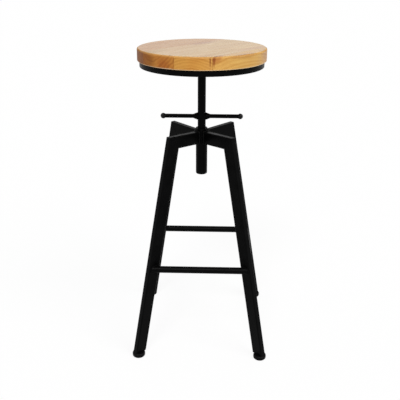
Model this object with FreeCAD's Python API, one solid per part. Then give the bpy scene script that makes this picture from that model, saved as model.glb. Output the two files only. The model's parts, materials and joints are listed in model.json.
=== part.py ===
import FreeCAD, Part
import math
import os

# Bar stool: a round seat of glued staves swivels on a screw spindle, which a T-handle turns up and
# down in the sleeve of a welded four-leg tube frame.
# Millimetres, +Z up. The origin is on the floor under the spindle's axis. The front is -Y, the legs
# stand on the diagonals and the T-handle lies along X.

V = FreeCAD.Vector
CENTRE = V(0, 0, 0)
UP = V(0, 0, 1)
FULL_TURN = 360             # degrees

# Welded frame
FRAME_HEIGHT = 568.0        # floor to the top outer corner where an arm meets its leg
FOOT_RADIUS = 222.5         # spindle axis to a leg's centre line, at the floor
LEG_TILT = 12.75            # degrees from upright
ARM_RISE = 2.0              # degrees that the arms climb outwards
TUBE_DEPTH = 31.0           # leg and arm tube, radial side
TUBE_WIDTH = 15.0           # leg and arm tube, narrow side
TUBE_WALL = 1.5
TUBE_CORNER = 2.5
RUNG_HEIGHT = 236.5
RUNG_DIAMETER = 17.0
RUNG_WALL = 1.5

# Feet
FOOT_DIAMETER = 32.5
FOOT_HEIGHT = 12.0
FOOT_LOWER_ROUND = 4.0
FOOT_UPPER_ROUND = 3.5
FOOT_PLUG_LENGTH = 25.0
FOOT_PLUG_ROOT = 1.0        # plug let into the pad
FOOT_PLUG_CLEARANCE = 0.15

# Screw lift
SPINDLE_DIAMETER = 20.0
TRAVEL_UP = 50.0
TRAVEL_DOWN = 18.0
STOP_GAP = 1.0              # left between the stops at either end of the travel
THREAD_LENGTH = 30.0        # length of the threaded bush
BUSH_WALL = 2.0
SLEEVE_WALL = 2.4           # where the threaded bush sits
SLEEVE_STAND = 8.0          # sleeve above the arms
CAP_DOME = 5.2
CAP_ROUND = 3.5
CAP_WALL = 1.6
CAP_FIT = 0.1

# Guide at the spindle's lower end
GUIDE_LENGTH = 10.0
GUIDE_RIM = 1.0             # guide's outside beyond the spindle's
GUIDE_STEP = 3.0            # spindle's radius less its guide journal's
GUIDE_WASHER_DIAMETER = 17.0
GUIDE_WASHER_THICKNESS = 2.0
GUIDE_SCREW_DIAMETER = 6.0
GUIDE_SCREW_LENGTH = 16.0
GUIDE_HEAD_DIAMETER = 10.5
GUIDE_HEAD_HEIGHT = 3.5
GUIDE_SOCKET_FLATS = 4.0
GUIDE_SOCKET_DEPTH = 2.0

# T-handle
HANDLE_REACH = 102.5        # spindle axis to the outer end of a ball
HANDLE_CLEARANCE = 2.0      # shoulder above the sleeve at the lowest setting
ROD_DIAMETER = 10.0
SHOULDER_DIAMETER = 18.0
SHOULDER_REACH = 21.4       # spindle axis to the shoulder's thin end
SHOULDER_LAND = 1.0         # straight part of the shoulder outside the spindle
SHANK_DIAMETER = 8.0
SHANK_GAP = 2.0             # between the ends of the two shanks
BALL_DIAMETER = 14.0
BALL_SPIGOT_DIAMETER = 6.0
BALL_SPIGOT_LENGTH = 7.0

# Swivel
SPINDLE_REACH = 100.3       # handle's centre line to the underside of the swivel collar
COLLAR_THICKNESS = 5.0
COLLAR_RIM = 1.0            # collar beyond the races
COLLAR_SHOW = 2.0           # collar below the housing's skirt
RACE_THICKNESS = 3.0
RACE_WIDTH = 10.0
RACE_GROOVE = 1.0
BEARING_BALL = 6.0
BEARING_BALL_COUNT = 10
CAGE_WIDTH = 8.0
CAGE_THICKNESS = 2.0
CAGE_CLEARANCE = 0.15
JOURNAL_STEP = 2.0          # spindle's radius less its top journal's
STUD_STEP = 2.0             # top journal's radius less the stud's
PIVOT_BUSH_LENGTH = 19.0
PIVOT_BUSH_WALL = 3.0
HOUSING_WALL = 2.6
SKIRT_CLEARANCE = 0.3
LIFT_PLAY = 0.2             # seat's up and down play
TOP_WASHER_DIAMETER = 28.0
TOP_WASHER_THICKNESS = 2.5
WASHER_RECESS = 4.0
RECESS_CLEARANCE = 1.0
NUT_FLATS = 18.0
NUT_HEIGHT = 10.0
STUD_END = 2.3              # stud beyond the nut
STUD_HEADROOM = 3.0         # wood above the stud's end

# Seat
SEAT_DIAMETER = 310.0
SEAT_THICKNESS = 30.0
SEAT_UPPER_ROUND = 4.0
SEAT_LOWER_ROUND = 2.5
FIRST_GLUE_LINE = -48.0     # from the seat's centre, square to the grain
STAVE_2_WIDTH = 97.0
STAVE_3_WIDTH = 70.0
STAVE_TURN = 40.0           # grain, degrees clockwise from +Y seen from above
NARROWEST_STAVE = 20.0      # no glue line runs nearer to the rim
RING_DIAMETER = 300.0
RING_HEIGHT = 14.0
RING_WALL = 4.0
BAR_COUNT = 4
BAR_WIDTH = 25.0
BAR_THICKNESS = 5.0
SCREW_RING_INSET = 21.0     # outer screws from the ring
SCREW_HUB_INSET = 53.0      # inner screws from the housing
SCREW_DIAMETER = 4.5
SCREW_LENGTH = 23.0
SCREW_HEAD_DIAMETER = 9.0
SCREW_HEAD_HEIGHT = 3.0
SCREW_TIP = 4.0
SCREW_HOLE_CLEARANCE = 0.25

# Fits between pieces, each on the radius
RUNNING_FIT = 0.05
SEATED_FIT = 0.02
AXIAL_PLAY = 0.1
EDGE_BREAK = 1.0            # chamfer on turned ends

# Welded frame, worked out in the upright plane through a leg
tilt = math.radians(LEG_TILT)
rise = math.radians(ARM_RISE)
half_depth = TUBE_DEPTH / 2
half_width = TUBE_WIDTH / 2
corner_radius = FOOT_RADIUS - FRAME_HEIGHT * math.tan(tilt) + half_depth / math.cos(tilt)
frame_corner = V(corner_radius, 0, FRAME_HEIGHT)
mitre = V(-math.cos(tilt) - math.sin(rise), 0, math.cos(rise) - math.sin(tilt))
mitre.normalize()           # square to the joint, from the leg to the arm
arm_axis_height = FRAME_HEIGHT - half_depth / math.cos(rise) - corner_radius * math.tan(rise)

# Spindle, sleeve and guide radii
spindle_radius = SPINDLE_DIAMETER / 2
bush_bore = spindle_radius + RUNNING_FIT
bush_radius = spindle_radius + BUSH_WALL
sleeve_seat_radius = bush_radius + SEATED_FIT
sleeve_radius = sleeve_seat_radius + SLEEVE_WALL
guide_radius = spindle_radius + GUIDE_RIM
sleeve_bore = guide_radius + RUNNING_FIT
guide_journal = spindle_radius - GUIDE_STEP

# Heights from the arms down through the sleeve
arm_top = FRAME_HEIGHT - (corner_radius - sleeve_radius) * math.tan(rise)
sleeve_top = arm_top + SLEEVE_STAND
bush_bottom = sleeve_top - THREAD_LENGTH
guide_top = bush_bottom - STOP_GAP - TRAVEL_UP
guide_bottom = guide_top - GUIDE_LENGTH
guide_shoulder = guide_top + AXIAL_PLAY
spindle_bottom = guide_bottom - AXIAL_PLAY
guide_washer_bottom = spindle_bottom - GUIDE_WASHER_THICKNESS
guide_head_bottom = guide_washer_bottom - GUIDE_HEAD_HEIGHT
sleeve_bottom = guide_head_bottom - TRAVEL_DOWN - STOP_GAP

# Handle
shoulder_radius = SHOULDER_DIAMETER / 2
handle_height = sleeve_top + TRAVEL_DOWN + HANDLE_CLEARANCE + shoulder_radius
ball_radius = BALL_DIAMETER / 2
ball_centre = HANDLE_REACH - ball_radius
ball_face = ball_centre - math.sqrt(ball_radius ** 2 - (ROD_DIAMETER / 2) ** 2)
ball_spigot_end = ball_face + BALL_SPIGOT_LENGTH

# Swivel radii
journal_radius = spindle_radius - JOURNAL_STEP
stud_radius = journal_radius - STUD_STEP
race_inner = journal_radius + RUNNING_FIT
race_outer = race_inner + RACE_WIDTH
race_middle = (race_inner + race_outer) / 2
groove_radius = BEARING_BALL / 2 + RUNNING_FIT
collar_radius = race_outer + COLLAR_RIM
skirt_bore = collar_radius + SKIRT_CLEARANCE
housing_radius = skirt_bore + HOUSING_WALL
pivot_bush_radius = journal_radius + RUNNING_FIT + PIVOT_BUSH_WALL
top_washer_radius = TOP_WASHER_DIAMETER / 2
recess_radius = top_washer_radius + RECESS_CLEARANCE

# Heights from the handle up to the seat
collar_bottom = handle_height + SPINDLE_REACH
collar_top = collar_bottom + COLLAR_THICKNESS
lower_race_top = collar_top + RACE_THICKNESS
race_gap = BEARING_BALL - 2 * RACE_GROOVE
bearing_height = lower_race_top + race_gap / 2
upper_race_bottom = lower_race_top + race_gap
pivot_bottom = upper_race_bottom + RACE_THICKNESS
pivot_top = pivot_bottom + PIVOT_BUSH_LENGTH
wood_bottom = pivot_top + WASHER_RECESS
stud_shoulder = pivot_top + LIFT_PLAY
nut_bottom = stud_shoulder + TOP_WASHER_THICKNESS
stud_top = nut_bottom + NUT_HEIGHT + STUD_END
housing_bottom = collar_bottom + COLLAR_SHOW
wood_middle = wood_bottom + SEAT_THICKNESS / 2
seat_top = wood_bottom + SEAT_THICKNESS

# Seat carrier
seat_radius = SEAT_DIAMETER / 2
ring_radius = RING_DIAMETER / 2
ring_bore = ring_radius - RING_WALL
bar_bottom = wood_bottom - BAR_THICKNESS
screw_radii = (housing_radius + SCREW_HUB_INSET, ring_bore - SCREW_RING_INSET)
bar_angles = [k * FULL_TURN / BAR_COUNT - STAVE_TURN for k in range(BAR_COUNT)]

# Large enough to cut right through any piece
ample = 3 * (seat_top + FOOT_RADIUS)

# Anticlockwise from above: the corners from the one at 45 degrees, the sides from the front
CORNERS = ("rear_right", "rear_left", "front_left", "front_right")
SIDES = ("front", "right", "rear", "left")
HANDLE_SIDES = ("right", "left")


def turned(points):
    """Solid of revolution about Z through (radius, height) points."""
    corners = [V(radius, 0, height) for radius, height in points]
    outline = Part.makePolygon(corners + corners[:1])
    return Part.Face(outline).revolve(CENTRE, UP, FULL_TURN)


def rod(radius, bottom, top):
    """Upright cylinder on the Z axis between two heights."""
    return Part.makeCylinder(radius, top - bottom, V(0, 0, bottom))


def pipe(outer, inner, bottom, top):
    """Upright ring on the Z axis between two heights."""
    return rod(outer, bottom, top).cut(rod(inner, bottom, top))


def beyond(point, direction):
    """Everything past a plane through the point, on the side that the direction looks to."""
    block = Part.makeBox(ample, ample, ample, V(-ample / 2, -ample / 2, 0))
    block.Placement = FreeCAD.Placement(point, FreeCAD.Rotation(UP, direction))
    return block


def about_z(shape, angle):
    """Copy of a shape, turned about the spindle's axis."""
    return shape.rotated(CENTRE, UP, angle)


def hexagon(flats, bottom, height):
    """Upright hexagonal prism on the Z axis, given across its flats."""
    corner = flats / 2 / math.cos(math.radians(30))
    angles = [math.radians(60 * k) for k in range(6)]
    points = [V(corner * math.cos(a), corner * math.sin(a), bottom) for a in angles]
    return Part.Face(Part.makePolygon(points + points[:1])).extrude(V(0, 0, height))


def rounded_bar(depth, width, corner, length):
    """Bar along Z with rounded long edges, its depth along X."""
    bar = Part.makeBox(depth, width, length, V(-depth / 2, -width / 2, 0))
    long_edges = [edge for edge in bar.Edges if edge.BoundBox.ZLength > length / 2]
    return bar.makeFillet(corner, long_edges)


def tube_core(clearance, length):
    """The inside of the leg tube, less a clearance all round."""
    shrink = 2 * (TUBE_WALL + clearance)
    corner = max(TUBE_CORNER - TUBE_WALL, TUBE_WALL / 4)
    return rounded_bar(TUBE_DEPTH - shrink, TUBE_WIDTH - shrink, corner, length)


def rectangular_tube(length):
    """Leg and arm tube along Z."""
    return rounded_bar(TUBE_DEPTH, TUBE_WIDTH, TUBE_CORNER, length).cut(tube_core(0, length))


def along_leg(shape):
    """Lays a shape that runs up Z along the leg in the XZ plane."""
    leaning = shape.translated(V(0, 0, -half_depth)).rotated(CENTRE, V(0, 1, 0), -LEG_TILT)
    return leaning.translated(V(FOOT_RADIUS, 0, 0))


def leg():
    """Leg in the XZ plane: level at the foot, mitred to the arm at the top."""
    length = FRAME_HEIGHT / math.cos(tilt) + 2 * TUBE_DEPTH
    tube = along_leg(rectangular_tube(length))
    tube = tube.cut(beyond(V(0, 0, FOOT_HEIGHT), V(0, 0, -1)))
    return tube.cut(beyond(frame_corner, mitre))


def arm():
    """Arm in the XZ plane: shaped to the sleeve, mitred to the leg."""
    tube = rectangular_tube(corner_radius + 2 * TUBE_DEPTH).rotated(CENTRE, V(0, 1, 0), 90 - ARM_RISE)
    tube = tube.translated(V(0, 0, arm_axis_height)).cut(rod(sleeve_radius, 0, seat_top))
    return tube.cut(beyond(frame_corner, mitre * -1))


def rung():
    """Front rung: its ends lie flat on the middle of the legs' wide faces."""
    leg_radius = FOOT_RADIUS - RUNG_HEIGHT * math.tan(tilt)
    line = (leg_radius + half_width) / math.sqrt(2)
    bar = pipe(RUNG_DIAMETER / 2, RUNG_DIAMETER / 2 - RUNG_WALL, -2 * line, 2 * line)
    bar = bar.rotated(CENTRE, V(0, 1, 0), 90).translated(V(0, -line, RUNG_HEIGHT))
    for side in (-1, 1):
        face = V(-side, -1, 0).normalize()
        bar = bar.cut(beyond(face * half_width, face * -1))
    return bar


def foot():
    """Round pad under a leg with a plug that pushes up into the tube."""
    pad = rod(FOOT_DIAMETER / 2, 0, FOOT_HEIGHT)
    low = [edge for edge in pad.Edges if edge.BoundBox.ZMax < FOOT_HEIGHT / 2]
    pad = pad.makeFillet(FOOT_LOWER_ROUND, low)
    high = [edge for edge in pad.Edges if edge.BoundBox.ZMin > FOOT_HEIGHT - FOOT_UPPER_ROUND]
    pad = pad.makeFillet(FOOT_UPPER_ROUND, high)
    pad = pad.translated(V(FOOT_RADIUS, 0, 0))
    plug = along_leg(tube_core(FOOT_PLUG_CLEARANCE, half_depth + FOOT_HEIGHT + FOOT_PLUG_LENGTH))
    plug = plug.cut(beyond(V(0, 0, FOOT_HEIGHT - FOOT_PLUG_ROOT), V(0, 0, -1)))
    return pad.fuse(plug).removeSplitter()


def hub_sleeve():
    """Upright tube, counterbored from above for the threaded bush."""
    tube = pipe(sleeve_radius, sleeve_bore, sleeve_bottom, sleeve_top)
    return tube.cut(rod(sleeve_seat_radius, bush_bottom, sleeve_top))


def threaded_bush():
    """Nut of the lifting screw, bored to the thread's outside, with a lead-in at both ends."""
    return turned([
        (bush_bore, bush_bottom + EDGE_BREAK), (bush_bore + EDGE_BREAK, bush_bottom),
        (bush_radius, bush_bottom), (bush_radius, sleeve_top),
        (bush_bore + EDGE_BREAK, sleeve_top), (bush_bore, sleeve_top - EDGE_BREAK),
    ])


def sleeve_end_cap():
    """Domed cap with a short ring that pushes up into the sleeve."""
    dome = rod(sleeve_radius, sleeve_bottom - CAP_DOME, sleeve_bottom)
    low = [edge for edge in dome.Edges if edge.BoundBox.ZMax < sleeve_bottom - CAP_DOME / 2]
    dome = dome.makeFillet(CAP_ROUND, low)
    collar_height = GUIDE_HEAD_HEIGHT + GUIDE_WASHER_THICKNESS
    outer = sleeve_bore - CAP_FIT
    return dome.fuse(pipe(outer, outer - CAP_WALL, sleeve_bottom, sleeve_bottom + collar_height))


def guide_bush():
    """Plain bush that runs on the spindle's lower journal and slides in the sleeve."""
    bore = guide_journal + RUNNING_FIT
    return turned([
        (bore, guide_bottom), (guide_radius - EDGE_BREAK, guide_bottom),
        (guide_radius, guide_bottom + EDGE_BREAK), (guide_radius, guide_top), (bore, guide_top),
    ])


def spindle():
    """Turned bar: guide journal, thread and shaft at one diameter, swivel journal and stud."""
    hole = GUIDE_SCREW_DIAMETER / 2 + SEATED_FIT
    hole_top = spindle_bottom + GUIDE_SCREW_LENGTH
    bar = turned([
        (hole, spindle_bottom), (guide_journal, spindle_bottom), (guide_journal, guide_shoulder),
        (spindle_radius - EDGE_BREAK, guide_shoulder), (spindle_radius, guide_shoulder + EDGE_BREAK),
        (spindle_radius, collar_top), (journal_radius, collar_top), (journal_radius, stud_shoulder),
        (stud_radius, stud_shoulder), (stud_radius, stud_top - EDGE_BREAK),
        (stud_radius - EDGE_BREAK, stud_top), (0, stud_top), (0, hole_top), (hole, hole_top),
    ])
    cross_hole = rod(SHANK_DIAMETER / 2 + SEATED_FIT, -SPINDLE_DIAMETER, SPINDLE_DIAMETER)
    cross_hole = cross_hole.rotated(CENTRE, V(0, 1, 0), 90)
    return bar.cut(cross_hole.translated(V(0, 0, handle_height)))


def guide_washer():
    """Washer that keeps the guide bush on its journal."""
    hole = GUIDE_SCREW_DIAMETER / 2 + SEATED_FIT
    return pipe(GUIDE_WASHER_DIAMETER / 2, hole, guide_washer_bottom, spindle_bottom)


def guide_screw():
    """Button-head screw, up into the spindle's end."""
    head = GUIDE_HEAD_DIAMETER / 2
    shank = GUIDE_SCREW_DIAMETER / 2
    tip = guide_washer_bottom + GUIDE_SCREW_LENGTH
    screw = turned([
        (0, guide_head_bottom), (head - EDGE_BREAK, guide_head_bottom),
        (head, guide_head_bottom + EDGE_BREAK), (head, guide_washer_bottom),
        (shank, guide_washer_bottom), (shank, tip), (0, tip),
    ])
    return screw.cut(hexagon(GUIDE_SOCKET_FLATS, guide_head_bottom, GUIDE_SOCKET_DEPTH))


def handle_arm():
    """Right-hand arm: shank in the spindle, conical shoulder saddled on it, rod and spigot."""
    rod_radius = ROD_DIAMETER / 2
    spigot = BALL_SPIGOT_DIAMETER / 2
    land = spindle_radius + SHOULDER_LAND
    body = turned([
        (0, 0), (shoulder_radius, 0), (shoulder_radius, land), (rod_radius, SHOULDER_REACH),
        (rod_radius, ball_face), (spigot, ball_face), (spigot, ball_spigot_end), (0, ball_spigot_end),
    ])
    shaft = rod(spindle_radius + SEATED_FIT, -SPINDLE_DIAMETER, SPINDLE_DIAMETER)
    body = body.cut(shaft.rotated(CENTRE, V(0, 1, 0), 90))
    body = body.fuse(rod(SHANK_DIAMETER / 2, SHANK_GAP / 2, land)).removeSplitter()
    return body.rotated(CENTRE, V(0, 1, 0), 90).translated(V(0, 0, handle_height))


def ball_knob():
    """Right-hand ball, flat where the rod meets it and bored for the spigot."""
    ball = Part.makeSphere(ball_radius, V(0, 0, ball_centre))
    ball = ball.cut(beyond(V(0, 0, ball_face), V(0, 0, -1)))
    ball = ball.cut(rod(BALL_SPIGOT_DIAMETER / 2 + SEATED_FIT, ball_face, ball_spigot_end))
    return ball.rotated(CENTRE, V(0, 1, 0), 90).translated(V(0, 0, handle_height))


def swivel_collar():
    """Collar on the spindle that the lower race lies on."""
    return turned([
        (spindle_radius + SEATED_FIT, collar_bottom), (collar_radius - EDGE_BREAK, collar_bottom),
        (collar_radius, collar_bottom + EDGE_BREAK), (collar_radius, collar_top),
        (spindle_radius + SEATED_FIT, collar_top),
    ])


def thrust_race(bottom):
    """Flat race with a groove for the balls."""
    ring = pipe(race_outer, race_inner, bottom, bottom + RACE_THICKNESS)
    return ring.cut(Part.makeTorus(race_middle, groove_radius, V(0, 0, bearing_height)))


def ball_places():
    """Centres of the bearing balls."""
    step = math.radians(FULL_TURN / BEARING_BALL_COUNT)
    angles = [k * step for k in range(BEARING_BALL_COUNT)]
    return [V(race_middle * math.cos(a), race_middle * math.sin(a), bearing_height) for a in angles]


def thrust_balls():
    """The bearing's balls, each a solid of its own."""
    return Part.makeCompound([Part.makeSphere(BEARING_BALL / 2, place) for place in ball_places()])


def ball_cage():
    """Ring that spaces the balls."""
    half_cage = CAGE_WIDTH / 2
    bottom = bearing_height - CAGE_THICKNESS / 2
    cage = pipe(race_middle + half_cage, race_middle - half_cage, bottom, bottom + CAGE_THICKNESS)
    for place in ball_places():
        pocket = rod(BEARING_BALL / 2 + CAGE_CLEARANCE, bottom, bottom + CAGE_THICKNESS)
        cage = cage.cut(pocket.translated(V(place.x, place.y, 0)))
    return cage


def top_washer():
    """Washer on the stud's shoulder, over the housing."""
    return pipe(top_washer_radius, stud_radius + SEATED_FIT, stud_shoulder, nut_bottom)


def top_nut():
    """Nut on the stud."""
    nut = hexagon(NUT_FLATS, nut_bottom, NUT_HEIGHT)
    return nut.cut(rod(stud_radius + SEATED_FIT, nut_bottom, nut_bottom + NUT_HEIGHT))


def swivel_housing():
    """Turned cup: skirt round the bearing, bore for the pivot bush, recess for the washer."""
    bore = pivot_bush_radius + SEATED_FIT
    return turned([
        (skirt_bore, housing_bottom), (housing_radius - EDGE_BREAK, housing_bottom),
        (housing_radius, housing_bottom + EDGE_BREAK), (housing_radius, wood_bottom),
        (recess_radius, wood_bottom), (recess_radius, pivot_top), (bore, pivot_top),
        (bore, pivot_bottom), (skirt_bore, pivot_bottom),
    ])


def pivot_bush():
    """Plain bush in the housing, round the spindle's top journal."""
    return pipe(pivot_bush_radius, journal_radius + RUNNING_FIT, pivot_bottom, pivot_top)


def seat_ring():
    """Flat-bar hoop under the wood."""
    return pipe(ring_radius, ring_bore, wood_bottom - RING_HEIGHT, wood_bottom)


def screw_places(angle):
    """Centres of the screws along one bar, at its underside."""
    turn = math.radians(angle)
    return [V(r * math.cos(turn), r * math.sin(turn), bar_bottom) for r in screw_radii]


def seat_bar(angle):
    """Flat bar from the housing to the ring, drilled for its screws."""
    low = V(0, -BAR_WIDTH / 2, bar_bottom)
    bar = about_z(Part.makeBox(ring_radius, BAR_WIDTH, BAR_THICKNESS, low), angle)
    bar = bar.common(rod(ring_bore, bar_bottom, wood_bottom))
    bar = bar.cut(rod(housing_radius, bar_bottom, wood_bottom))
    for place in screw_places(angle):
        hole = rod(SCREW_DIAMETER / 2 + SCREW_HOLE_CLEARANCE, 0, BAR_THICKNESS)
        bar = bar.cut(hole.translated(place))
    return bar


def wood_screw(clearance):
    """Pan-head wood screw, its head's upper face at zero, swollen by a clearance to cut its hole."""
    head = SCREW_HEAD_DIAMETER / 2
    shank = SCREW_DIAMETER / 2 + clearance
    tip = SCREW_LENGTH + clearance
    return turned([
        (0, -SCREW_HEAD_HEIGHT), (head - EDGE_BREAK, -SCREW_HEAD_HEIGHT),
        (head, EDGE_BREAK - SCREW_HEAD_HEIGHT), (head, 0), (shank, 0),
        (shank, tip - SCREW_TIP), (0, tip),
    ])


def seat_screws():
    """All the seat's screws, each a solid of its own."""
    places = [place for angle in bar_angles for place in screw_places(angle)]
    return Part.makeCompound([wood_screw(0).translated(place) for place in places])


def glue_lines():
    """Distances of the glue lines from the seat's centre, from one rim to the other."""
    second = FIRST_GLUE_LINE + STAVE_2_WIDTH
    lines = (FIRST_GLUE_LINE, second, second + STAVE_3_WIDTH)
    return [line for line in lines if abs(line) < seat_radius - NARROWEST_STAVE]


def seat_staves():
    """The round seat, drilled from below and sawn along its glue lines."""
    disc = rod(seat_radius, wood_bottom, seat_top)
    high = [edge for edge in disc.Edges if edge.BoundBox.ZMin > wood_middle]
    disc = disc.makeFillet(SEAT_UPPER_ROUND, high)
    low = [edge for edge in disc.Edges if edge.BoundBox.ZMax < wood_middle]
    disc = disc.makeFillet(SEAT_LOWER_ROUND, low)
    disc = disc.cut(rod(recess_radius, wood_bottom, stud_top + STUD_HEADROOM))
    for angle in bar_angles:
        for place in screw_places(angle):
            disc = disc.cut(wood_screw(SEATED_FIT).translated(place))
    edges = [-SEAT_DIAMETER] + glue_lines() + [SEAT_DIAMETER]
    staves = []
    for left, right in zip(edges, edges[1:]):
        low = V(left, -SEAT_DIAMETER, wood_bottom)
        plank = Part.makeBox(right - left, 2 * SEAT_DIAMETER, SEAT_THICKNESS, low)
        staves.append(disc.common(about_z(plank, -STAVE_TURN)))
    return staves


def build():
    """Every piece of the stool by name."""
    pieces = {}
    for number, corner in enumerate(CORNERS):
        angle = (number + 0.5) * FULL_TURN / len(CORNERS)
        pieces["leg_" + corner] = about_z(leg(), angle)
        pieces["arm_" + corner] = about_z(arm(), angle)
        pieces["foot_" + corner] = about_z(foot(), angle)
    for number, side in enumerate(SIDES):
        pieces["rung_" + side] = about_z(rung(), number * FULL_TURN / len(SIDES))
    pieces["hub_sleeve"] = hub_sleeve()
    pieces["threaded_bush"] = threaded_bush()
    pieces["sleeve_end_cap"] = sleeve_end_cap()
    pieces["guide_bush"] = guide_bush()
    pieces["spindle"] = spindle()
    pieces["guide_washer"] = guide_washer()
    pieces["guide_screw"] = guide_screw()
    for number, side in enumerate(HANDLE_SIDES):
        angle = number * FULL_TURN / len(HANDLE_SIDES)
        pieces["handle_arm_" + side] = about_z(handle_arm(), angle)
        pieces["ball_knob_" + side] = about_z(ball_knob(), angle)
    pieces["swivel_collar"] = swivel_collar()
    pieces["thrust_race_lower"] = thrust_race(collar_top)
    pieces["thrust_balls"] = thrust_balls()
    pieces["ball_cage"] = ball_cage()
    pieces["thrust_race_upper"] = thrust_race(upper_race_bottom)
    pieces["top_washer"] = top_washer()
    pieces["top_nut"] = top_nut()
    pieces["swivel_housing"] = swivel_housing()
    pieces["pivot_bush"] = pivot_bush()
    pieces["seat_ring"] = seat_ring()
    for number, angle in enumerate(bar_angles, 1):
        pieces["seat_bar_%d" % number] = seat_bar(angle)
    pieces["seat_screws"] = seat_screws()
    for number, stave in enumerate(seat_staves(), 1):
        pieces["seat_stave_%d" % number] = stave
    return pieces


os.makedirs("parts", exist_ok=True)
for name, shape in build().items():
    shape.exportStep("parts/%s.step" % name)
print("seat height %.1f, handle height %.1f" % (seat_top, handle_height))
print("sleeve %.1f to %.1f" % (sleeve_bottom, sleeve_top))
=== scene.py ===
import json
import math
from collections import namedtuple

import bmesh
import bpy
from mathutils import Matrix, Vector

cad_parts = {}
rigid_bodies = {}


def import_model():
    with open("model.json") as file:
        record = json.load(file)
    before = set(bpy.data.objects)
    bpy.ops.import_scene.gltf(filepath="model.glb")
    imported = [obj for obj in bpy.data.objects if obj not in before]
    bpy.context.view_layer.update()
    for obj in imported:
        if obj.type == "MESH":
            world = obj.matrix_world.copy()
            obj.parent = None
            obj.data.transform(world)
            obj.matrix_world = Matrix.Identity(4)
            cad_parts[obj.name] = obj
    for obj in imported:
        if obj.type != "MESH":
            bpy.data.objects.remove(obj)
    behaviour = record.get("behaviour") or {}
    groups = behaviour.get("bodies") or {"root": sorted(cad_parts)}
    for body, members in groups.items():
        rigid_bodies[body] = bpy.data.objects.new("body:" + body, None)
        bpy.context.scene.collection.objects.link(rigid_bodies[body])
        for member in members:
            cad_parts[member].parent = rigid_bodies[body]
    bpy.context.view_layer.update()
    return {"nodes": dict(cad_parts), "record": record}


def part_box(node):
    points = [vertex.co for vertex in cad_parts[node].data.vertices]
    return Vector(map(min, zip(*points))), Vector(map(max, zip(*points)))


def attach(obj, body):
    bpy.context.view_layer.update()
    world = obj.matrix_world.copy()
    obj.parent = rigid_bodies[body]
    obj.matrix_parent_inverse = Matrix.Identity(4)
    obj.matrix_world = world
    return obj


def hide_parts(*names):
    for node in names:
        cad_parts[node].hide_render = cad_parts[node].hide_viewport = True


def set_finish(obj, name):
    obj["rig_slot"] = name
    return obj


# Looks of the bar stool, in metres, in the same frame as its solids: a finish for every piece, the
# screw thread, the rounded seat ring, the seat screws and the weld beads as meshes, and a plain
# white studio.

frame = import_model()

MM = 0.001

# Tube frame
FOOT_RADIUS = 222.5 * MM    # spindle axis to a leg's centre line, at the floor
LEG_TILT = math.radians(12.75)
ARM_RISE = math.radians(2.0)
TUBE_WIDTH = 15 * MM
TUBE_DEPTH = 31 * MM
TUBE_CORNER = 2.5 * MM
CORNER_AZIMUTHS = [math.radians(45 + 90 * k) for k in range(4)]

# Weld beads
SLEEVE_BEAD = 3.9 * MM
SLEEVE_BEAD_STAND = 2.0 * MM    # bead's middle outside the sleeve, so that it stays in the wall
RUNG_BEAD = 1.7 * MM
MITRE_BEAD = 0.8 * MM
MITRE_SINK = 0.45 * MM      # how far the ground bead's line lies under the face
BAR_BEAD = 1.6 * MM
RIPPLE_LENGTH = 2.4 * MM
RIPPLE_DEPTH = 0.2          # share of a bead's radius that its hollows lose
RIPPLE_STEPS = 4            # points in one ripple
SHORTEST_SEAM = 4           # least number of steps in a seam
RUNG_SEAM_STEPS = 48
BAR_SEAM_STEPS = 16
BEAD_RESOLUTION = 2

# Screw thread
THREAD_PITCH = 4 * MM
THREAD_DEPTH = 1.7 * MM
THREAD_CREST = 0.36         # share of a pitch that the crest takes
THREAD_FLANK = 0.14         # share of a pitch that one flank takes
THREAD_STEPS = 20           # rings in one pitch
THREAD_SEGMENTS = 72
THREAD_RELIEF = 5 * MM      # plain length above the guide
THREAD_COVER = 0.5 * MM     # thread's upper end below the sleeve's top
GUIDE_JOURNAL = 7 * MM
SWIVEL_JOURNAL = 8 * MM
STUD_RADIUS = 6 * MM
STUD_CHAMFER = 1 * MM

# Seat
GRAIN_TURN = math.radians(40.0)     # clockwise from +Y, seen from above
GLUE_LINES = (-48 * MM, 49 * MM, 119 * MM)
BAR_COUNT = 4
BAR_WIDTH = 25 * MM
RING_WALL = 4 * MM
RING_EDGE = 1.2 * MM
RING_SEGMENTS = 180

# Seat screws
SCREW_HUB_OFFSET = 53 * MM      # inner screws outwards from the housing
SCREW_RING_OFFSET = 21 * MM     # outer screws inwards from the hoop's inner wall
SCREW_HEAD = 4.5 * MM       # radius
SCREW_SHANK = 2.25 * MM     # radius
SCREW_POINT = SCREW_SHANK / 8   # radius left at the tip
SCREW_EDGE = 1.2 * MM       # rounding of the head
SCREW_EDGE_BREAK = SCREW_EDGE / 3   # middle point of that rounding, from the head's corner
SCREW_TIP = 4 * MM
SCREW_SEGMENTS = 40
RECESS_REACH = 2.6 * MM
RECESS_WING = 0.55 * MM
RECESS_DEPTH = 1.5 * MM
RECESS_TAPER = 0.8          # recess's floor against its mouth

# Sharpest angle that is still shaded smooth, in degrees
SMOOTH_ANGLE = 35.0
THREAD_SMOOTH_ANGLE = 50.0
SCREW_SMOOTH_ANGLE = 25.0
BEAD_SMOOTH_ANGLE = 60.0

# Camera, from the outlines in the photograph
CAMERA_PLACE = (42.4 * MM, -1494.2 * MM, 977.8 * MM)
CAMERA_HEADING = math.radians(1.763)
CAMERA_PITCH = math.radians(21.909)
CAMERA_ROLL = math.radians(0.176)
FOCAL_LENGTH = 55.31        # millimetres
SENSOR_WIDTH = 36.0         # millimetres

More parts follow.
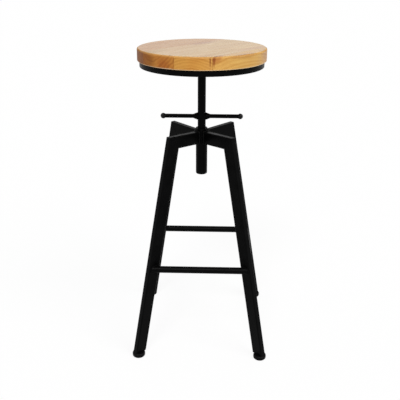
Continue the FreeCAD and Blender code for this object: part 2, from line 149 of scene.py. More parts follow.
# Studio
FLOOR_HALF = 40.0           # metres from the middle to an edge
FLOOR_DROP = 0.1 * MM       # floor below the feet
FLOOR_COLOUR = (0.95, 0.95, 0.95)
FLOOR_GLOW = 0.9            # share of plain white in the floor that is seen; the rest takes the shadow
WORLD_LIGHT = 0.3           # the white surroundings as a light
Sun = namedtuple("Sun", "name source spread level")
SUNS = (
    Sun("key", (0.538, -0.414, 0.735), math.radians(35), 0.524),
    Sun("front", (-0.135, -0.64, 0.755), math.radians(18), 0.45),
)

# Sizes of the solids
spindle_low, spindle_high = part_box("spindle")
sleeve_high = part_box("hub_sleeve")[1]
collar_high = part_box("swivel_collar")[1]
ring_low, ring_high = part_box("seat_ring")
bar_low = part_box("seat_bar_1")[0]
housing_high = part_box("swivel_housing")[1]
rung_low, rung_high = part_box("rung_front")
washer_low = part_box("top_washer")[0]
guide_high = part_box("guide_bush")[1]
screw_low, screw_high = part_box("seat_screws")
stave_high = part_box("seat_stave_2")[1]

frame_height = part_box("leg_rear_right")[1].z
corner_radius = FOOT_RADIUS - frame_height * math.tan(LEG_TILT) + TUBE_DEPTH / 2 / math.cos(LEG_TILT)
thread_foot = guide_high.z + THREAD_RELIEF
thread_head = sleeve_high.z - THREAD_COVER
screw_radii = (housing_high.x + SCREW_HUB_OFFSET, ring_high.x - RING_WALL - SCREW_RING_OFFSET)


def mesh_piece(name, mesh, body, slot, smooth_angle=SMOOTH_ANGLE):
    """Places a mesh as a piece that rides on a body, smooth but for edges past an angle."""
    shape = bmesh.new()
    shape.from_mesh(mesh)
    bmesh.ops.recalc_face_normals(shape, faces=shape.faces)
    shape.to_mesh(mesh)
    shape.free()
    mesh.shade_smooth()
    mesh.set_sharp_from_angle(angle=math.radians(smooth_angle))
    piece = bpy.data.objects.new(name, mesh)
    bpy.context.scene.collection.objects.link(piece)
    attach(piece, body)
    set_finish(piece, slot)
    return piece


def tube_mesh(name, rings, capped):
    """Mesh through rings of points, capped at both ends or closed into a loop."""
    columns = len(rings[0])
    points = [point for ring in rings for point in ring]
    faces = []
    for row in range(len(rings) - 1 if capped else len(rings)):
        low = row * columns
        high = (row + 1) % len(rings) * columns
        for column in range(columns):
            beside = (column + 1) % columns
            faces.append((low + column, low + beside, high + beside, high + column))
    if capped:
        faces.append(tuple(range(columns)))
        faces.append(tuple(range(len(points) - columns, len(points))))
    mesh = bpy.data.meshes.new(name)
    mesh.from_pydata(points, [], faces)
    return mesh


def level_ring(radius, height, segments):
    """Level circle of points about the spindle's axis; the radius may depend on the turn."""
    ring = []
    for segment in range(segments):
        turn = math.tau * segment / segments
        reach = radius(turn) if callable(radius) else radius
        ring.append((reach * math.cos(turn), reach * math.sin(turn), height))
    return ring


def rounded_loop(width, depth, corner_width, corner_depth, steps=6):
    """Closed outline of a rectangle with rounded corners, about its middle."""
    outline = []
    for quarter, (side, end) in enumerate(((1, 1), (-1, 1), (-1, -1), (1, -1))):
        across = side * (width / 2 - corner_width)
        along = end * (depth / 2 - corner_depth)
        for step in range(steps + 1):
            turn = math.pi / 2 * (quarter + step / steps)
            outline.append((across + corner_width * math.cos(turn), along + corner_depth * math.sin(turn)))
    return outline


def smooth_step(value):
    """Eases from 0 to 1 as the value does."""
    share = min(max(value, 0.0), 1.0)
    return share * share * (3 - 2 * share)


# Spindle with its lifting thread

def thread_cut(height, turn):
    """How deep the thread is cut at a height and turn, right-handed, running out at its upper end."""
    phase = (height / THREAD_PITCH - turn / math.tau) % 1.0
    falling = smooth_step((phase - THREAD_CREST) / THREAD_FLANK)
    rising = smooth_step((phase - 1 + THREAD_FLANK) / THREAD_FLANK)
    run_out = smooth_step((thread_head - height) / THREAD_PITCH)
    return THREAD_DEPTH * (falling - rising) * run_out


def threaded_spindle():
    """The spindle bar with a real screw thread, which starts just inside the sleeve."""
    radius = spindle_high.x
    lower = [
        (GUIDE_JOURNAL, spindle_low.z), (GUIDE_JOURNAL, guide_high.z), (radius, guide_high.z),
        (radius, thread_foot),
    ]
    upper = [
        (radius, collar_high.z), (SWIVEL_JOURNAL, collar_high.z), (SWIVEL_JOURNAL, washer_low.z),
        (STUD_RADIUS, washer_low.z), (STUD_RADIUS, spindle_high.z - STUD_CHAMFER),
        (STUD_RADIUS - STUD_CHAMFER, spindle_high.z),
    ]
    rings = [level_ring(reach, height, THREAD_SEGMENTS) for reach, height in lower]
    steps = round((thread_head - thread_foot) / THREAD_PITCH * THREAD_STEPS)
    for step in range(1, steps + 1):
        height = thread_foot + (thread_head - thread_foot) * step / steps
        rings.append(level_ring(lambda turn: radius - thread_cut(height, turn), height, THREAD_SEGMENTS))
    rings += [level_ring(reach, height, THREAD_SEGMENTS) for reach, height in upper]
    mesh = tube_mesh("spindle_screw", rings, True)
    piece = mesh_piece("spindle_screw", mesh, "spindle", "spindle_black", THREAD_SMOOTH_ANGLE)
    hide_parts("spindle")


def rolled_seat_ring():
    """The seat's flat-bar hoop with its mill-rounded edges."""
    height = ring_high.z - ring_low.z
    middle_radius = ring_high.x - RING_WALL / 2
    middle_height = (ring_low.z + ring_high.z) / 2
    section = rounded_loop(RING_WALL, height, RING_EDGE, RING_EDGE)
    rings = []
    for across, up in section:
        rings.append(level_ring(middle_radius + across, middle_height + up, RING_SEGMENTS))
    piece = mesh_piece("seat_hoop", tube_mesh("seat_hoop", rings, False), "seat", "frame_black")
    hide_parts("seat_ring")


# Seat screws

def screw_mesh(shape, centre):
    """Adds one pan-head screw with a cross recess, head down, to a mesh being built."""
    head_low = screw_low.z
    shank_end = screw_high.z - SCREW_TIP
    profile = [
        (SCREW_HEAD - SCREW_EDGE, head_low),
        (SCREW_HEAD - SCREW_EDGE_BREAK, head_low + SCREW_EDGE_BREAK),
        (SCREW_HEAD, head_low + SCREW_EDGE), (SCREW_HEAD, bar_low.z), (SCREW_SHANK, bar_low.z),
        (SCREW_SHANK, shank_end), (SCREW_POINT, screw_high.z),
    ]
    rings = []
    for radius, height in profile:
        points = level_ring(radius, height, SCREW_SEGMENTS)
        rings.append([shape.verts.new(centre + Vector(point)) for point in points])
    for low, high in zip(rings, rings[1:]):
        for number in range(SCREW_SEGMENTS):
            beside = (number + 1) % SCREW_SEGMENTS
            shape.faces.new((low[number], low[beside], high[beside], high[number]))
    shape.faces.new(rings[-1])

    wing = ((RECESS_REACH, -RECESS_WING), (RECESS_REACH, RECESS_WING), (RECESS_WING, RECESS_WING))
    crosses = []
    for scale, depth in ((1.0, 0.0), (RECESS_TAPER, RECESS_DEPTH)):
        cross = []
        for quarter in range(4):
            spin = Matrix.Rotation(math.pi / 2 * quarter, 3, "Z")
            for corner in wing:
                place = spin @ Vector((*corner, 0)) * scale
                cross.append(shape.verts.new(centre + place + Vector((0, 0, head_low + depth))))
        crosses.append(cross)
    mouth, floor = crosses
    for number in range(len(mouth)):
        beside = (number + 1) % len(mouth)
        shape.faces.new((mouth[number], mouth[beside], floor[beside], floor[number]))
    shape.faces.new(floor)
    rims = []
    for loop in (rings[0], mouth):
        rims += [shape.edges.get((loop[k], loop[(k + 1) % len(loop)])) for k in range(len(loop))]
    bmesh.ops.triangle_fill(shape, edges=rims, use_beauty=True)


def pan_head_screws():
    """The screws that hold the bars to the wood."""
    shape = bmesh.new()
    for number in range(BAR_COUNT):
        azimuth = math.tau * number / BAR_COUNT - GRAIN_TURN
        for radius in screw_radii:
            screw_mesh(shape, Vector((radius * math.cos(azimuth), radius * math.sin(azimuth), 0)))
    mesh = bpy.data.meshes.new("pan_head_screws")
    shape.to_mesh(mesh)
    shape.free()
    piece = mesh_piece("pan_head_screws", mesh, "seat", "plain_steel", SCREW_SMOOTH_ANGLE)
    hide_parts("seat_screws")


# Weld beads

Seam = namedtuple("Seam", "path radius closed")


def even_steps(path, step, closed):
    """The same path in even steps of about the given length."""
    corners = path + path[:1] if closed else path
    lengths = [(end - start).length for start, end in zip(corners, corners[1:])]
    count = max(SHORTEST_SEAM, round(sum(lengths) / step))
    places = []
    index = 0
    passed = 0.0
    for number in range(count if closed else count + 1):
        target = sum(lengths) * number / count
        while index < len(lengths) - 1 and passed + lengths[index] < target:
            passed += lengths[index]
            index += 1
        places.append(corners[index].lerp(corners[index + 1], (target - passed) / lengths[index]))
    return places


def weld_beads(name, seams, body):
    """One piece of weld beads, each a rippled round along its seam."""
    curve = bpy.data.curves.new(name, "CURVE")
    curve.dimensions = "3D"
    curve.bevel_depth = 1.0
    curve.bevel_resolution = BEAD_RESOLUTION
    curve.use_fill_caps = True
    for seam in seams:
        places = even_steps(seam.path, RIPPLE_LENGTH / RIPPLE_STEPS, seam.closed)
        spline = curve.splines.new("POLY")
        spline.points.add(len(places) - 1)
        spline.use_cyclic_u = seam.closed
        for number, (point, place) in enumerate(zip(spline.points, places)):
            crest = abs(math.sin(math.pi * number / RIPPLE_STEPS))
            point.co = (*place, 1)
            point.radius = seam.radius * (1 - RIPPLE_DEPTH * (1 - crest))
    holder = bpy.data.objects.new(name + "_path", curve)
    mesh = bpy.data.meshes.new_from_object(holder)
    mesh.name = name
    mesh.materials.clear()
    bpy.data.objects.remove(holder)
    bpy.data.curves.remove(curve)
    mesh_piece(name, mesh, body, "frame_black", BEAD_SMOOTH_ANGLE)


def compass(azimuth):
    """Outward and sideways unit vectors at an azimuth."""
    outward = Vector((math.cos(azimuth), math.sin(azimuth), 0))
    return outward, Vector((-outward.y, outward.x, 0))


def sleeve_seams():
    """Seams round the end of each arm, on the sleeve."""
    depth = TUBE_DEPTH / math.cos(ARM_RISE)
    seams = []
    for azimuth in CORNER_AZIMUTHS:
        outward, aside = compass(azimuth)
        path = []
        for across, up in rounded_loop(TUBE_WIDTH, depth, TUBE_CORNER, TUBE_CORNER):
            reach = math.sqrt(sleeve_high.x ** 2 - across ** 2) + SLEEVE_BEAD_STAND
            top = frame_height - (corner_radius - reach) * math.tan(ARM_RISE)
            path.append(outward * reach + aside * across + Vector((0, 0, top - depth / 2 + up)))
        seams.append(Seam(path, SLEEVE_BEAD, True))
    return seams


def mitre_seams():
    """Ground seams between each arm and its leg, along the wide faces of the mitre."""
    slope = Vector((math.cos(ARM_RISE) - math.sin(LEG_TILT), math.cos(LEG_TILT) + math.sin(ARM_RISE)))
    slope.normalize()
    leg_line = Vector((math.sin(LEG_TILT), -math.cos(LEG_TILT)))
    stretch = 1 / abs(slope.cross(leg_line))
    start = TUBE_CORNER * stretch
    end = (TUBE_DEPTH - TUBE_CORNER) * stretch
    seams = []
    for azimuth in CORNER_AZIMUTHS:
        outward, aside = compass(azimuth)
        for side in (-1, 1):
            face = aside * (side * (TUBE_WIDTH / 2 - MITRE_SINK))
            path = []
            for inward in (start, end):
                reach = corner_radius - inward * slope.x
                path.append(face + outward * reach + Vector((0, 0, frame_height - inward * slope.y)))
            seams.append(Seam(path, MITRE_BEAD, False))
    return seams


def rung_seams():
    """Seams round both ends of every rung, on the legs' wide faces."""
    radius = (rung_high.z - rung_low.z) / 2
    height = (rung_high.z + rung_low.z) / 2
    leg_radius = FOOT_RADIUS - height * math.tan(LEG_TILT)
    seams = []
    for azimuth in CORNER_AZIMUTHS:
        outward, aside = compass(azimuth)
        for side in (-1, 1):
            centre = outward * leg_radius + aside * (side * TUBE_WIDTH / 2) + Vector((0, 0, height))
            path = []
            for step in range(RUNG_SEAM_STEPS):
                turn = math.tau * step / RUNG_SEAM_STEPS
                along = outward * (radius * math.sqrt(2) * math.cos(turn))
                path.append(centre + along + Vector((0, 0, radius * math.sin(turn))))
            seams.append(Seam(path, RUNG_BEAD, True))
    return seams


def bar_seams():
    """Seams along the lower edges of the seat's bars, at the hoop and at the housing."""
    low = bar_low.z
    seams = []
    for number in range(BAR_COUNT):
        azimuth = math.tau * number / BAR_COUNT - GRAIN_TURN
        for radius in (ring_high.x - RING_WALL, housing_high.x):
            half_turn = math.asin(BAR_WIDTH / 2 / radius)
            path = []
            for step in range(BAR_SEAM_STEPS + 1):
                turn = azimuth + half_turn * (2 * step / BAR_SEAM_STEPS - 1)
                path.append(Vector((radius * math.cos(turn), radius * math.sin(turn), low)))
            seams.append(Seam(path, BAR_BEAD, False))
    return seams


# Finishes

class Finish:
    """A procedural material: each call adds a node and hands back what comes out of it."""

    def __init__(self, name):
        self.material = bpy.data.materials.new(name)
        self.material.use_nodes = True
        self.tree = self.material.node_tree
        self.shader = self.tree.nodes["Principled BSDF"]
        self.coordinates = self.node("TexCoord")
        self.place = self.coordinates.outputs["Object"]

    def node(self, kind, **settings):
        """New shader node."""
        made = self.tree.nodes.new("ShaderNode" + kind)
        for name, value in settings.items():
            setattr(made, name, value)
        return made

    def feed(self, socket, value):
        """Links a socket to another, or sets its number, vector or colour."""
        if isinstance(value, bpy.types.NodeSocket):
            self.tree.links.new(value, socket)
        else:
            socket.default_value = value

    def math(self, operation, first, second=0.0):
        """Arithmetic on two numbers."""
        made = self.node("Math", operation=operation)
        self.feed(made.inputs[0], first)
        self.feed(made.inputs[1], second)
        return made.outputs[0]

    def ease(self, value, low, high, start=0.0, end=1.0):
        """Smooth step from start to end as the value goes from low to high."""
        made = self.node("MapRange", interpolation_type="SMOOTHSTEP")
        for name, item in (("Value", value), ("From Min", low), ("From Max", high),
                           ("To Min", start), ("To Max", end)):
            self.feed(made.inputs[name], item)
        return made.outputs["Result"]

    def band(self, value, rise, fall):
        """1 between a rise and a fall, each given by the value where it is 0 and the one where it is 1."""
        return self.math("MULTIPLY", self.ease(value, *rise), self.ease(value, *fall))

    def turned(self, angle, stretch=(1, 1, 1), shift=(0, 0, 0)):
        """The object's coordinates, turned about Z, then stretched along the new axes."""
        first = self.node("Mapping")
        first.inputs["Rotation"].default_value = (0, 0, angle)
        self.feed(first.inputs["Vector"], self.place)
        second = self.node("Mapping")
        second.inputs["Scale"].default_value = stretch
        second.inputs["Location"].default_value = shift
        self.feed(second.inputs["Vector"], first.outputs[0])
        return second.outputs[0]

    def move(self, shift):
        """Shifts the coordinates that the textures are drawn in."""
        made = self.node("Mapping")
        made.inputs["Location"].default_value = shift
        self.feed(made.inputs["Vector"], self.place)
        self.place = made.outputs[0]

    def noise(self, where, scale=1.0, detail=2.0, roughness=0.5):
        """Noise from 0 to 1 at a place."""
        made = self.node("TexNoise")
        self.feed(made.inputs["Vector"], where)
        made.inputs["Scale"].default_value = scale
        made.inputs["Detail"].default_value = detail
        made.inputs["Roughness"].default_value = roughness
        return made.outputs["Fac"]

    def mix(self, share, first, second, blend="MIX"):
        """Blend of two colours."""
        made = self.node("Mix", data_type="RGBA", blend_type=blend)
        for number, value in ((0, share), (6, first), (7, second)):
            self.feed(made.inputs[number], value)
        return made.outputs[2]

    def set(self, **sockets):
        """Sets or links the shader's own sockets, named with underscores for spaces."""
        for name, value in sockets.items():
            self.feed(self.shader.inputs[name.replace("_", " ")], value)

    def bump(self, height, distance):
        """Fine relief, in metres at full height."""
        made = self.node("Bump")
        made.inputs["Distance"].default_value = distance
        self.feed(made.inputs["Height"], height)
        self.feed(self.shader.inputs["Normal"], made.outputs[0])


def rgb(red, green, blue):
    """Colour with full alpha."""
    return (red, green, blue, 1.0)


def toned(colour, factor):
    """A colour times a factor, with full alpha."""
    return rgb(*[factor * part for part in colour])


WOOD_DATUM = 774.84 * MM    # height of the seat's top in the coordinates that the wood is drawn in

# A local change of tone in the wood: its middle and half sizes across the grain, along it and in height
Blot = namedtuple("Blot", "place size tint share")
BLOT_REACH = (1.0, 0.35)    # from its edge to where it has its full share, of the half sizes
HEARTWOOD = Blot((-43 * MM, 54 * MM, 775 * MM), (20 * MM, 58 * MM, 20 * MM), rgb(0.74, 0.59, 0.68), 0.8)

# Each stave: growth rings about a pith at (across the grain, height), then colours of long and end grain
Stave = namedtuple("Stave", "pith ring pale dark end_pale end_dark seed blots")
STAVES = {
    "seat_stave_1": Stave(
        (-143 * MM, 830 * MM), 7.5 * MM, rgb(0.52, 0.285, 0.105), rgb(0.41, 0.200, 0.066),
        rgb(0.25, 0.088, 0.018), rgb(0.16, 0.048, 0.009), 1.7, (HEARTWOOD,)),
    "seat_stave_2": Stave(
        (-14 * MM, 801 * MM), 7.0 * MM, rgb(0.60, 0.410, 0.195), rgb(0.49, 0.300, 0.110),
        rgb(0.50, 0.205, 0.033), rgb(0.34, 0.120, 0.014), 3.1,
        (Blot((-32 * MM, -140 * MM, 758 * MM), (40 * MM, 90 * MM, 28 * MM), rgb(0.58, 0.47, 0.15), 0.9),
         Blot((22 * MM, -140 * MM, 750 * MM), (24 * MM, 60 * MM, 22 * MM), rgb(0.80, 0.59, 0.42), 0.7),
         HEARTWOOD)),
    "seat_stave_3": Stave(
        (80 * MM, 697 * MM), 6.0 * MM, rgb(0.61, 0.410, 0.185), rgb(0.50, 0.300, 0.105),
        rgb(0.60, 0.295, 0.056), rgb(0.45, 0.190, 0.028), 5.3,
        (Blot((115.6 * MM, -101 * MM, 770 * MM), (1.6 * MM, 45 * MM, 24 * MM), rgb(0.50, 0.34, 0.24), 0.95),
         Blot((103 * MM, -106 * MM, 775 * MM), (14 * MM, 40 * MM, 9 * MM), rgb(0.90, 0.78, 0.62), 0.8),
         Blot((102 * MM, 50 * MM, 775 * MM), (15 * MM, 80 * MM, 20 * MM), rgb(0.86, 0.74, 0.78), 0.75))),
    "seat_stave_4": Stave(
        (185 * MM, 690 * MM), 7.5 * MM, rgb(0.65, 0.405, 0.112), rgb(0.52, 0.270, 0.054),
        rgb(0.64, 0.345, 0.084), rgb(0.50, 0.232, 0.044), 7.9,
        (Blot((121 * MM, -101 * MM, 770 * MM), (3 * MM, 55 * MM, 24 * MM), rgb(0.55, 0.36, 0.26), 0.95),
         Blot((148 * MM, -32 * MM, 772 * MM), (18 * MM, 66 * MM, 6.5 * MM), rgb(0.76, 0.65, 0.60), 0.85),
         Blot((124 * MM, -96 * MM, 772 * MM), (11 * MM, 40 * MM, 16 * MM), rgb(0.72, 0.50, 0.43), 0.8),
         Blot((146 * MM, 72 * MM, 766 * MM), (30 * MM, 52 * MM, 34 * MM), rgb(0.80, 0.74, 0.86), 0.9))),
}

# Growth rings
WANDER_STRETCH = (9.0, 3.0, 9.0)
WANDER = 26 * MM            # how far the rings stray sideways in all
PITH_LEAN = 0.04            # how far the pith sinks for each length along the grain
UNEVEN_STRETCH = (55.0, 5.0, 55.0)
UNEVEN_DETAIL = 3.0
UNEVEN_YEARS = 1.3          # how far uneven growth shifts a ring, in rings
LATE_WOOD = ((0.0, 0.7), (1.0, 0.6))    # rise and fall of the dark wood over one ring
SEASON_SCALE = 0.45         # of the noise over the rings that leaves some of them faint
SEASON_SHIFT = 10           # rings between the draws of two seeds one apart
SEASON_LEVELS = (0.32, 0.62)
FAINTEST_SEASON = 0.3

# Darker marks as noise stretched along the grain: its scale on each axis, the axes that the stave's
# seed shifts, its detail and roughness, the levels between which it darkens, how much and to what tint
Marks = namedtuple("Marks", "stretch seeded detail roughness levels share tint")
PATCHES = Marks((24.0, 7.0, 24.0), (1, 0, 1), 2.0, 0.5, (0.42, 0.7), 0.5, rgb(0.88, 0.74, 0.62))
FIBRES = Marks((900.0, 22.0, 900.0), (1, 0, 0), 3.0, 0.6, (0.38, 0.75), 0.3, rgb(0.62, 0.48, 0.36))
PORES = Marks((1900.0, 60.0, 1900.0), (0, 1, 0), 1.0, 0.5, (0.68, 0.76), 0.35, rgb(0.5, 0.32, 0.2))

# End grain, glue lines, and the rounded edges with their painted highlights
END_FACING = (0.15, 0.8)    # how squarely a face cuts the grain, from long grain to end grain
END_RING_SHARE = 0.85
GLUE_REACH = (0.7 * MM, 0.2 * MM)   # from a line's edge to where it has its full share
GLUE_SHARE = 0.5
GLUE_TINT = rgb(0.42, 0.24, 0.12)
# The rounded upper edge: its lacquer is worn and rougher there, and a paler tint on it is a painted
# highlight
UPPER_EDGE = ((0.05, 0.4), (0.999, 0.9))    # rise and fall over how far a face looks up
UPPER_HIGHLIGHT_SHARE = 0.3
UPPER_EDGE_HIGHLIGHT = rgb(0.66, 0.39, 0.14)     # painted highlight along the rounded upper edge
# Painted highlight: a pale line along the rounded lower edge, where the rounding would mirror the white
# floor
LOWER_HIGHLIGHT_BAND = ((-0.1, -0.5), (-0.98, -0.8))
LOWER_HIGHLIGHT_SHARE = 0.6
LOWER_EDGE_HIGHLIGHT = rgb(0.88, 0.66, 0.42)

# Lacquer
WOOD_SPECULAR = 0.22
GLOSS_LEVELS = (0.2, 0.8)   # of the fibres
GLOSS_ROUGHNESS = (0.22, 0.31)
END_DULLING = 0.32
WORN_DULLING = 0.45
RING_RELIEF_SHARE = 0.4     # late wood's relief against the fibres'
WOOD_RELIEF = 0.06 * MM

# Coated metal; its clouds are soft changes of tone and sheen
COAT_BLACK = (0.0009, 0.0009, 0.00095)
PEEL_DETAIL = 3.0
PEEL_ROUGHNESS = 0.6
CLOUD_SCALE = 35.0
CLOUD_DETAIL = 3.0
CLOUD_LEVELS = (0.3, 0.7)
CLOUD_TONE = 1.7
CLOUD_SHEEN_LEVELS = (0.25, 0.75)
CLOUD_SHEEN = (-0.05, 0.07)     # added to the roughness
DUST_SCALE = 140.0
DUST_DETAIL = 4.0
DUST_ROUGHNESS = 0.7
DUST_LEVELS = (0.62, 0.8)
DUST_SHARE = 0.25
DUST_TONE = 4.0

# Machined metal
TURNING_STRETCH = (200.0, 200.0, 2600.0)
TURNING_LEVELS = (0.3, 0.7)
TURNING_SHEEN = (-0.08, 0.1)    # added to the roughness
TURNING_RELIEF = 0.02 * MM
TARNISH_SCALE = 90.0
TARNISH_DETAIL = 4.0
TARNISH_ROUGHNESS = 0.65
TARNISH_LEVELS = (0.45, 0.75)
TARNISH_SHARE = 0.6
TARNISH_TONE = 0.55

# Moulded plastic
MOULD_SCALE = 1600.0
MOULD_ROUGHNESS = 0.6
MOULD_RELIEF = 0.03 * MM
SCUFF_TURN = 0.6            # radians
SCUFF_STRETCH = (60.0, 500.0, 200.0)
SCUFF_DETAIL = 3.0
SCUFF_ROUGHNESS = 0.7
SCUFF_LEVELS = (0.58, 0.78)
SCUFF_SHARE = 0.4
SCUFF_TONE = 1.5
SCUFF_SHEEN_LEVELS = (0.4, 0.75)
SCUFF_SHEEN = 0.12              # added to the roughness


def growth_rings(finish, stave):
    """How dark the late wood is: 0 in a ring's pale early wood, up to 1 where it ends."""
    axes = finish.node("SeparateXYZ")
    finish.feed(axes.inputs[0], finish.turned(GRAIN_TURN))
    across, along, height = axes.outputs
    slow = finish.noise(finish.turned(GRAIN_TURN, WANDER_STRETCH, (stave.seed, stave.seed, 0)))
    wander = finish.math("MULTIPLY", finish.math("SUBTRACT", slow, 0.5), WANDER)
    aside = finish.math("SUBTRACT", finish.math("ADD", across, wander), stave.pith[0])
    lean = finish.math("MULTIPLY", along, PITH_LEAN)
    above = finish.math("SUBTRACT", finish.math("ADD", height, lean), stave.pith[1])
    square = finish.math("ADD", finish.math("MULTIPLY", aside, aside), finish.math("MULTIPLY", above, above))
    years = finish.math("DIVIDE", finish.math("SQRT", square), stave.ring)
    uneven_place = finish.turned(GRAIN_TURN, UNEVEN_STRETCH, (0, 0, stave.seed))
    uneven = finish.noise(uneven_place, detail=UNEVEN_DETAIL)
    years = finish.math("ADD", years, finish.math("MULTIPLY", uneven, UNEVEN_YEARS))
    late = finish.band(finish.math("FRACT", years), *LATE_WOOD)
    season = finish.node("TexNoise", noise_dimensions="1D")
    finish.feed(season.inputs["W"], finish.math("ADD", years, SEASON_SHIFT * stave.seed))
    season.inputs["Scale"].default_value = SEASON_SCALE
    strength = finish.ease(season.outputs["Fac"], *SEASON_LEVELS, FAINTEST_SEASON, 1.0)
    return finish.math("MULTIPLY", late, strength)


def grain_marks(finish, stave, marks, colour):
    """Darkens a colour by one kind of marks; hands back their noise and the new colour."""
    shift = [stave.seed * axis for axis in marks.seeded]
    place = finish.turned(GRAIN_TURN, marks.stretch, shift)
    noise = finish.noise(place, detail=marks.detail, roughness=marks.roughness)
    share = finish.ease(noise, *marks.levels, 0.0, marks.share)
    return noise, finish.mix(share, colour, marks.tint, "MULTIPLY")


def blotted(finish, stave, colour):
    """A colour with the stave's own blots."""
    for blot in stave.blots:
        inverse = [1 / size for size in blot.size]
        shift = [-middle / size for middle, size in zip(blot.place, blot.size)]
        reach = finish.node("VectorMath", operation="LENGTH")
        finish.feed(reach.inputs[0], finish.turned(GRAIN_TURN, inverse, shift))
        share = finish.ease(reach.outputs["Value"], *BLOT_REACH, 0.0, blot.share)
        colour = finish.mix(share, colour, blot.tint, "MULTIPLY")
    return colour


def glued(finish, colour):
    """A colour with the dark glue lines between staves."""
    axes = finish.node("SeparateXYZ")
    finish.feed(axes.inputs[0], finish.turned(GRAIN_TURN))
    for line in GLUE_LINES:
        distance = finish.math("ABSOLUTE", finish.math("SUBTRACT", axes.outputs["X"], line))
        seam = finish.ease(distance, *GLUE_REACH, 0.0, GLUE_SHARE)
        colour = finish.mix(seam, colour, GLUE_TINT, "MULTIPLY")
    return colour


def wood_finish(name, stave):
    """Lacquered softwood: growth rings in the round, deeper in tone across its ends."""
    finish = Finish(name)
    finish.move((0, 0, WOOD_DATUM - stave_high.z))
    late = growth_rings(finish, stave)
    direction = finish.node("VectorMath", operation="DOT_PRODUCT")
    finish.feed(direction.inputs[0], finish.coordinates.outputs["Normal"])
    direction.inputs[1].default_value = (math.sin(GRAIN_TURN), math.cos(GRAIN_TURN), 0)
    end_share = finish.ease(finish.math("ABSOLUTE", direction.outputs["Value"]), *END_FACING)
    face = finish.mix(late, stave.pale, stave.dark)
    end = finish.mix(finish.math("MULTIPLY", late, END_RING_SHARE), stave.end_pale, stave.end_dark)
    colour = finish.mix(end_share, face, end)

    colour = grain_marks(finish, stave, PATCHES, colour)[1]
    fibres, colour = grain_marks(finish, stave, FIBRES, colour)
    colour = grain_marks(finish, stave, PORES, colour)[1]
    colour = glued(finish, blotted(finish, stave, colour))

    facing = finish.node("SeparateXYZ")
    finish.feed(facing.inputs[0], finish.coordinates.outputs["Normal"])
    # Rounded upper edge: a paler tint that is a painted highlight, and rougher lacquer where it is worn
    wear_and_highlight = finish.band(facing.outputs["Z"], *UPPER_EDGE)
    colour = finish.mix(finish.math("MULTIPLY", wear_and_highlight, UPPER_HIGHLIGHT_SHARE), colour, UPPER_EDGE_HIGHLIGHT)
    # Painted highlight: a pale line along the rounded lower edge
    lower = finish.band(facing.outputs["Z"], *LOWER_HIGHLIGHT_BAND)
    colour = finish.mix(finish.math("MULTIPLY", lower, LOWER_HIGHLIGHT_SHARE), colour, LOWER_EDGE_HIGHLIGHT)
    finish.set(Base_Color=colour, Specular_IOR_Level=WOOD_SPECULAR)

    gloss = finish.ease(fibres, *GLOSS_LEVELS, *GLOSS_ROUGHNESS)
    end_dull = finish.math("MULTIPLY", end_share, END_DULLING)
    worn_dull = finish.math("MULTIPLY", wear_and_highlight, WORN_DULLING)
    finish.set(Roughness=finish.math("ADD", gloss, finish.math("MAXIMUM", end_dull, worn_dull)))
    finish.bump(finish.math("ADD", fibres, finish.math("MULTIPLY", late, RING_RELIEF_SHARE)), WOOD_RELIEF)
    return finish.material


def coated_metal(name, colour, roughness, grain, relief, specular):
    """Black coating: fine orange peel, cloudy sheen and a breath of dust."""
    finish = Finish(name)
    peel = finish.noise(finish.place, grain, PEEL_DETAIL, PEEL_ROUGHNESS)
    cloud = finish.noise(finish.place, CLOUD_SCALE, CLOUD_DETAIL)
    dust = finish.noise(finish.place, DUST_SCALE, DUST_DETAIL, DUST_ROUGHNESS)
    tone = finish.mix(finish.ease(cloud, *CLOUD_LEVELS), rgb(*colour), toned(colour, CLOUD_TONE))
    tone = finish.mix(finish.ease(dust, *DUST_LEVELS, 0.0, DUST_SHARE), tone, toned(colour, DUST_TONE))
    sheen = [roughness + change for change in CLOUD_SHEEN]
    finish.set(Base_Color=tone, Specular_IOR_Level=specular)
    finish.set(Roughness=finish.ease(cloud, *CLOUD_SHEEN_LEVELS, *sheen))
    finish.bump(peel, relief)
    return finish.material


def bright_metal(name, colour, roughness):
    """Machined metal with fine turning marks and slight tarnish."""
    finish = Finish(name)
    turning = finish.noise(finish.turned(0.0, TURNING_STRETCH))
    tarnish = finish.noise(finish.place, TARNISH_SCALE, TARNISH_DETAIL, TARNISH_ROUGHNESS)
    share = finish.ease(tarnish, *TARNISH_LEVELS, 0.0, TARNISH_SHARE)
    sheen = [roughness + change for change in TURNING_SHEEN]
    finish.set(Base_Color=finish.mix(share, rgb(*colour), toned(colour, TARNISH_TONE)), Metallic=1.0)
    finish.set(Roughness=finish.ease(turning, *TURNING_LEVELS, *sheen))
    finish.bump(turning, TURNING_RELIEF)
    return finish.material


def moulded_plastic(name, colour, roughness, specular):
    """Moulded plastic with a fine spark-eroded grain."""
    finish = Finish(name)
    grain = finish.noise(finish.place, MOULD_SCALE, roughness=MOULD_ROUGHNESS)
    scuff_place = finish.turned(SCUFF_TURN, SCUFF_STRETCH)
    scuffs = finish.noise(scuff_place, detail=SCUFF_DETAIL, roughness=SCUFF_ROUGHNESS)
    share = finish.ease(scuffs, *SCUFF_LEVELS, 0.0, SCUFF_SHARE)
    tone = finish.mix(share, rgb(*colour), toned(colour, SCUFF_TONE))
    finish.set(Base_Color=tone, Specular_IOR_Level=specular)
    finish.set(Roughness=finish.ease(scuffs, *SCUFF_SHEEN_LEVELS, roughness, roughness + SCUFF_SHEEN))
    finish.bump(grain, MOULD_RELIEF)
    return finish.material


def paint(piece, material):
    """Gives a piece one material."""
    piece.data.materials.clear()
    piece.data.materials.append(material)


threaded_spindle()
rolled_seat_ring()
pan_head_screws()
weld_beads("frame_welds", sleeve_seams() + mitre_seams() + rung_seams(), "base")
weld_beads("seat_welds", bar_seams(), "seat")

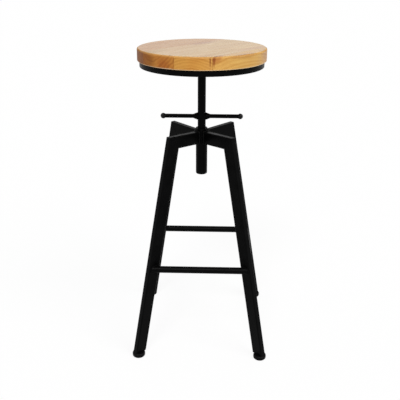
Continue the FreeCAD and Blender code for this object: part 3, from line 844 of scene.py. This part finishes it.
finishes = {
    "frame_black": coated_metal(
        "frame_black", COAT_BLACK, roughness=0.36, grain=1300.0, relief=0.05 * MM, specular=0.035),
    "spindle_black": coated_metal(
        "spindle_black", COAT_BLACK, roughness=0.36, grain=1700.0, relief=0.03 * MM, specular=0.03),
    "foot_plastic": moulded_plastic("foot_plastic", (0.002, 0.002, 0.002), roughness=0.42, specular=0.06),
    "knob_black": moulded_plastic("knob_black", (0.0012, 0.0012, 0.0013), roughness=0.18, specular=0.16),
    "plain_steel": bright_metal("plain_steel", (0.56, 0.56, 0.58), roughness=0.32),
    "bush_bronze": bright_metal("bush_bronze", (0.60, 0.42, 0.20), roughness=0.34),
    "guide_nylon": moulded_plastic("guide_nylon", (0.70, 0.69, 0.64), roughness=0.45, specular=0.4),
}
for subpart in frame["record"]["subparts"]:
    node = frame["nodes"][subpart["node"]]
    if subpart["node"] in STAVES:
        paint(node, wood_finish("wood_" + subpart["node"], STAVES[subpart["node"]]))
    else:
        paint(node, finishes[subpart["material_slot"]])
for piece in bpy.data.objects:
    if piece.type == "MESH" and not piece.data.materials:
        paint(piece, finishes[piece["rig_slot"]])


# Studio

def seen_directly(tree):
    """1 for rays that show the background: from the camera, mirrored or through glass."""
    path = tree.nodes.new("ShaderNodeLightPath")
    total = path.outputs["Is Camera Ray"]
    for name in ("Is Glossy Ray", "Is Transmission Ray"):
        either = tree.nodes.new("ShaderNodeMath")
        either.operation = "MAXIMUM"
        tree.links.new(total, either.inputs[0])
        tree.links.new(path.outputs[name], either.inputs[1])
        total = either.outputs[0]
    return total


def white_floor():
    """Wide white floor that keeps a faint shadow of the stool."""
    mesh = bpy.data.meshes.new("floor")
    corners = [(x * FLOOR_HALF, y * FLOOR_HALF, 0) for x, y in ((-1, -1), (1, -1), (1, 1), (-1, 1))]
    mesh.from_pydata(corners, [], [(0, 1, 2, 3)])
    floor = bpy.data.objects.new("floor", mesh)
    floor.location.z = -FLOOR_DROP
    bpy.context.scene.collection.objects.link(floor)
    material = bpy.data.materials.new("floor")
    material.use_nodes = True
    tree = material.node_tree
    tree.nodes.clear()
    matt = tree.nodes.new("ShaderNodeBsdfDiffuse")
    matt.inputs["Color"].default_value = rgb(*FLOOR_COLOUR)
    white = tree.nodes.new("ShaderNodeEmission")
    share = tree.nodes.new("ShaderNodeMath")
    share.operation = "MULTIPLY"
    tree.links.new(seen_directly(tree), share.inputs[0])
    share.inputs[1].default_value = FLOOR_GLOW
    blend = tree.nodes.new("ShaderNodeMixShader")
    tree.links.new(share.outputs[0], blend.inputs[0])
    tree.links.new(matt.outputs[0], blend.inputs[1])
    tree.links.new(white.outputs[0], blend.inputs[2])
    output = tree.nodes.new("ShaderNodeOutputMaterial")
    tree.links.new(blend.outputs[0], output.inputs["Surface"])
    mesh.materials.append(material)


def soft_world():
    """White all round to the eye and in reflections, softer as a light."""
    world = bpy.data.worlds.new("studio")
    bpy.context.scene.world = world
    world.use_nodes = True
    tree = world.node_tree
    level = tree.nodes.new("ShaderNodeMapRange")
    tree.links.new(seen_directly(tree), level.inputs["Value"])
    level.inputs["To Min"].default_value = WORLD_LIGHT
    level.inputs["To Max"].default_value = 1.0
    sky = tree.nodes["Background"]
    sky.inputs["Color"].default_value = rgb(1, 1, 1)
    tree.links.new(level.outputs["Result"], sky.inputs["Strength"])


def soft_sun(sun):
    """Broad, even light from a direction; a level of 1 shows a colour as it is written."""
    lamp = bpy.data.lights.new(sun.name, "SUN")
    lamp.angle = sun.spread
    lamp.energy = math.pi * sun.level
    holder = bpy.data.objects.new(sun.name, lamp)
    holder.rotation_euler = Vector(sun.source).to_track_quat("Z", "Y").to_euler()
    bpy.context.scene.collection.objects.link(holder)


white_floor()
soft_world()
for sun in SUNS:
    soft_sun(sun)

lens = bpy.data.cameras.new("camera")
lens.lens = FOCAL_LENGTH
lens.sensor_width = SENSOR_WIDTH
camera = bpy.data.objects.new("camera", lens)
heading = Matrix.Rotation(CAMERA_HEADING, 4, "Z")
pitch = Matrix.Rotation(math.pi / 2 - CAMERA_PITCH, 4, "X")
roll = Matrix.Rotation(CAMERA_ROLL, 4, "Z")
camera.matrix_world = Matrix.Translation(CAMERA_PLACE) @ heading @ pitch @ roll
bpy.context.scene.collection.objects.link(camera)
bpy.context.scene.camera = camera
bpy.context.scene.view_settings.view_transform = "Standard"
